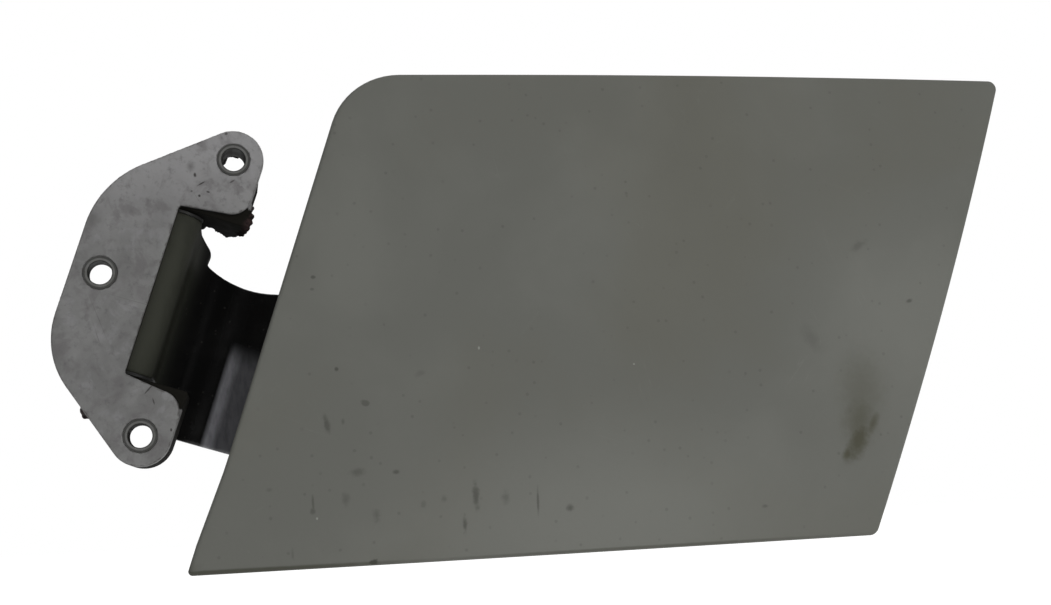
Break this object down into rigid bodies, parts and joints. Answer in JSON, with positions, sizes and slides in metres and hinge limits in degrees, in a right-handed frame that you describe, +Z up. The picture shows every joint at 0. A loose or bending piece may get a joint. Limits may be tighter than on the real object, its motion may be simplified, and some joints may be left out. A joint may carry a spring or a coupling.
{
  "type": "car fuel door",
  "caption": "Hinged car fuel filler door: crowned sheet metal flap with a curved gooseneck arm that swings on a three-bolt bracket.",
  "frame": {"origin": "centre of the middle bolt hole, on the bracket's front face", "axes": "closed door on a standing car: +X along the car to the door's free end, +Y into the car, +Z up"},
  "size_m": [0.2943, 0.0475, 0.1426],
  "materials": {
    "primer_paint": "dull grey paint with fine dust, scratches and stains",
    "inner_paint": "dull grey paint",
    "arm_paint": "black satin paint with grey-green overspray on the barrel",
    "plated_steel": "dull zinc plate",
    "bracket_grey": "silver-grey, satin, lightly scuffed",
    "sleeve_steel": "dull steel with dirt round the rim",
    "spring_steel": "dark spring steel",
    "bush_plastic": "off-white nylon",
    "stop_rubber": "black rubber"
  },
  "bodies": {
    "bracket": {"hinge_bracket": "bracket_grey", "sleeve_upper": "sleeve_steel", "sleeve_middle": "sleeve_steel", "sleeve_lower": "sleeve_steel", "hinge_pin": "plated_steel", "pin_clip": "spring_steel", "toggle_spring": "spring_steel"},
    "door": {"outer_skin": "primer_paint", "inner_panel": "inner_paint", "hinge_arm": "arm_paint", "arm_nut_plate": "plated_steel", "arm_screw_upper": "plated_steel", "arm_screw_lower": "plated_steel", "arm_screw_far": "plated_steel", "bush_upper": "bush_plastic", "bush_lower": "bush_plastic", "striker": "plated_steel", "striker_rivet_upper": "plated_steel", "striker_rivet_lower": "plated_steel", "stop_upper": "stop_rubber", "stop_lower": "stop_rubber"}
  },
  "joints": [
    {"name": "door_hinge", "type": "hinge", "parent": "bracket", "child": "door", "pos_m": [0.0147, 0.011, -0.00492], "axis": [-0.3173, 0, -0.9483], "range_deg": [0, 85], "deforming": ["toggle_spring"]}
  ]
}
